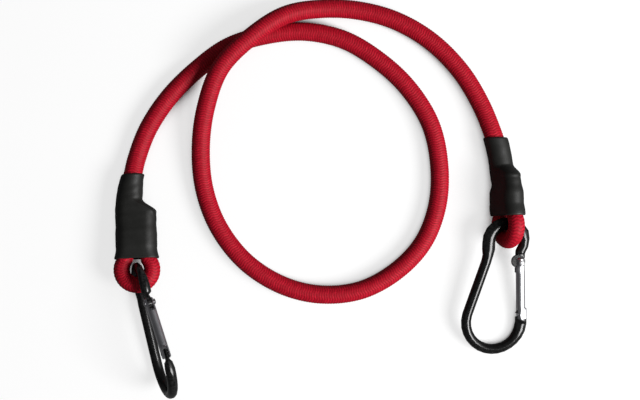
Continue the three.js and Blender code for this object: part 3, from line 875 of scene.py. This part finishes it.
# The first list holds what the three bright metals share
brightMetal = {
    "patchScale": 130.0,
    "patchStrength": 0.5,
    # painted shade: pointiness range over which the metal is darkened in its hollows
    "hollowShadeRange": (0.40, 0.48),
    "scratchDepth": 0.00002,
    "scratchBump": 0.05,
}
brightGate = {
    "metal": (0.72, 0.72, 0.75, 1),
    "metalDull": (0.55, 0.55, 0.58, 1),
    "hollowShade": (0.10, 0.10, 0.10, 1),
    "scratchStretch": (300.0, 40.0, 300.0),
    "scratchAmount": 0.03,
    "roughness": 0.36,
}
bareSteel = {
    "metal": (0.50, 0.50, 0.51, 1),
    "metalDull": (0.33, 0.33, 0.34, 1),
    "hollowShade": (0.07, 0.07, 0.07, 1),
    "scratchStretch": (900.0, 900.0, 3000.0),
    "scratchAmount": 0.2,
    "roughness": 0.42,
}
crimpStrip = {
    "metal": (0.46, 0.46, 0.47, 1),
    "metalDull": (0.30, 0.30, 0.31, 1),
    "hollowShade": (0.06, 0.06, 0.06, 1),
    "scratchStretch": (3000.0, 900.0, 900.0),
    "scratchAmount": 0.25,
    "roughness": 0.38,
}


def makeBrightMetal(name, setup):
    material, tree, shader = newMaterial(name)
    tone = placeGroup(
        tree, patchyTone, Tone=setup["metal"], Darker=setup["metalDull"],
        Scale=brightMetal["patchScale"], Strength=brightMetal["patchStrength"])
    scratch = placeGroup(
        tree, hairScratches, Stretch=setup["scratchStretch"], Amount=setup["scratchAmount"])
    # painted shade: the metal's colour turns dark in its hollows, picked out by pointiness
    pocket = addRange(tree, pointiness(tree), brightMetal["hollowShadeRange"], (1.0, 0.0))
    link(tree, addMix(tree, pocket, tone.outputs["Color"], setup["hollowShade"]), shader.inputs["Base Color"])
    shader.inputs["Metallic"].default_value = 1.0
    rough = addMath(tree, "ADD", scratch.outputs["Scratch"], setup["roughness"])
    link(tree, rough, shader.inputs["Roughness"])
    addBump(
        tree, shader, scratch.outputs["Scratch"], brightMetal["scratchDepth"], brightMetal["scratchBump"])
    return material


rubberCore = {
    "strand": (0.62, 0.53, 0.36, 1),
    "strandDark": (0.46, 0.38, 0.24, 1),
    "patchScale": 700.0,
    "patchStrength": 0.7,
    "patchDepth": 0.0001,
    "patchBump": 0.5,
    "roughness": (0.70, 0.85),
}


def makeRubberCore(setup):
    material, tree, shader = newMaterial("rubberCore")
    tone = placeGroup(
        tree, patchyTone, Tone=setup["strand"], Darker=setup["strandDark"],
        Scale=setup["patchScale"], Strength=setup["patchStrength"])
    link(tree, tone.outputs["Color"], shader.inputs["Base Color"])
    rough = addRange(tree, tone.outputs["Patch"], (0.0, 1.0), setup["roughness"])
    link(tree, rough, shader.inputs["Roughness"])
    addBump(tree, shader, tone.outputs["Patch"], setup["patchDepth"], setup["patchBump"])
    return material


materials = {
    "sheath": makeRedYarn(redYarn),
    "sleeve": makeShrinkTube(shrinkTube),
    "hook": makeBlackCoat(blackCoat),
    "gate": makeBrightMetal("brightGate", brightGate),
    "steel": makeBrightMetal("bareSteel", bareSteel),
    "band": makeBrightMetal("crimpStrip", crimpStrip),
    "core": makeRubberCore(rubberCore),
}


def dress(piece, slot):
    piece.data.materials.clear()
    piece.data.materials.append(materials[slot])


for braided, core in [freeCordPieces, *eyePieces]:
    dress(braided, "sheath")
    dress(core, "core")
for piece in sleevePieces:
    dress(piece, "sleeve")
for piece in springPieces:
    dress(piece, "steel")
print("materials made:", len(materials))


# CAD metal pieces keep their shape: split corners are welded and only round faces shaded smooth
metalFinish = {
    "weldDistance": 0.00001,
    "sharpFrom": math.radians(34.0),
}


def makeRoundShading(sharpFrom):
    group = bpy.data.node_groups.new("roundFaceShading", "GeometryNodeTree")
    group.interface.new_socket(name="Geometry", in_out="INPUT", socket_type="NodeSocketGeometry")
    group.interface.new_socket(name="Geometry", in_out="OUTPUT", socket_type="NodeSocketGeometry")
    source = group.nodes.new("NodeGroupInput")
    sink = group.nodes.new("NodeGroupOutput")
    angle = group.nodes.new("GeometryNodeInputMeshEdgeAngle")
    isRound = group.nodes.new("FunctionNodeCompare")
    isRound.operation = "LESS_THAN"
    isRound.inputs[1].default_value = sharpFrom
    shade = group.nodes.new("GeometryNodeSetShadeSmooth")
    shade.domain = "EDGE"
    link(group, angle.outputs["Unsigned Angle"], isRound.inputs[0])
    link(group, source.outputs[0], shade.inputs[0])
    link(group, isRound.outputs[0], shade.inputs["Shade Smooth"])
    link(group, shade.outputs[0], sink.inputs[0])
    return group


roundFaceShading = makeRoundShading(metalFinish["sharpFrom"])


def finishMetal(node, slot):
    dress(node, slot)
    node.data.shade_smooth()
    weld = node.modifiers.new("weldCorners", "WELD")
    weld.merge_threshold = metalFinish["weldDistance"]
    node.modifiers.new("roundFaces", "NODES").node_group = roundFaceShading
    evened = node.modifiers.new("evenNormals", "WEIGHTED_NORMAL")
    evened.mode = "FACE_AREA_WITH_ANGLE"
    evened.keep_sharp = True


for entry in frame["record"]["subparts"]:
    node = nodes[entry["node"]]
    if not node.hide_render:
        finishMetal(node, entry["material_slot"])
print("CAD nodes dressed")


# Table, lamps and surroundings
studio = {
    "tableSize": 6.0,
    "tableSeen": (0.95, 0.95, 0.95, 1),
    "tableBounce": (0.15, 0.15, 0.15, 1),
    "tableRoughness": 0.8,
    "tableGlow": 0.75,
    "surround": (0.14, 0.14, 0.142, 1),
    "surroundMirrored": (0.05, 0.05, 0.052, 1),
    "shadeReach": 0.04,  # how far off the table a piece still darkens it
    "shadeRange": (0.3, 0.6),
    "lampAim": (0.0, 0.03, 0.0),
    "keyFrom": (1.05, -0.40, 1.00),
    "keySize": 0.7,
    "keyPower": 32.0,
    "fillFrom": (1.0, -0.03, 0.62),
    "fillSize": 1.0,
    "fillPower": 4.0,
}


def makeTable(setup):
    half = setup["tableSize"] / 2.0
    corners = np.array([(-half, -half, 0.0), (half, -half, 0.0), (half, half, 0.0), (-half, half, 0.0)])
    table = newPiece("paleTable", corners, [[0, 1, 2, 3]])
    material, tree, shader = newMaterial("paleTable")
    glow = tree.nodes.new("ShaderNodeEmission")
    seen = tree.nodes.new("ShaderNodeLightPath").outputs["Is Camera Ray"]
    tone = addMix(tree, seen, setup["tableBounce"], setup["tableSeen"])
    link(tree, tone, shader.inputs["Base Color"])
    shader.inputs["Roughness"].default_value = setup["tableRoughness"]
    shader.inputs["Specular IOR Level"].default_value = 0.0
    enclosed = tree.nodes.new("ShaderNodeAmbientOcclusion")
    enclosed.inputs["Distance"].default_value = setup["shadeReach"]
    openShare = addRange(tree, enclosed.outputs["AO"], setup["shadeRange"], (0.0, setup["tableGlow"]))
    share = addMath(tree, "MULTIPLY", seen, openShare)
    blend = tree.nodes.new("ShaderNodeMixShader")
    link(tree, share, blend.inputs[0])
    link(tree, shader.outputs[0], blend.inputs[1])
    link(tree, glow.outputs[0], blend.inputs[2])
    link(tree, blend.outputs[0], tree.nodes["Material Output"].inputs["Surface"])
    table.data.materials.append(material)


def makeLamp(name, place, size, power):
    data = bpy.data.lights.new(name, "AREA")
    data.shape = "DISK"
    data.size = size
    data.energy = power
    lamp = bpy.data.objects.new(name, data)
    scene.collection.objects.link(lamp)
    lamp.location = place
    aim = Vector(studio["lampAim"]) - Vector(place)
    lamp.rotation_euler = aim.to_track_quat("-Z", "Y").to_euler()


def makeSurround(setup):
    world = bpy.data.worlds.new("studioSurround")
    world.use_nodes = True
    tree = world.node_tree
    mirrored = tree.nodes.new("ShaderNodeLightPath").outputs["Is Glossy Ray"]
    tone = addMix(tree, mirrored, setup["surround"], setup["surroundMirrored"])
    link(tree, tone, tree.nodes["Background"].inputs["Color"])
    scene.world = world


makeTable(studio)
makeLamp("keyLamp", studio["keyFrom"], studio["keySize"], studio["keyPower"])
makeLamp("fillLamp", studio["fillFrom"], studio["fillSize"], studio["fillPower"])
makeSurround(studio)
print("studio ready")
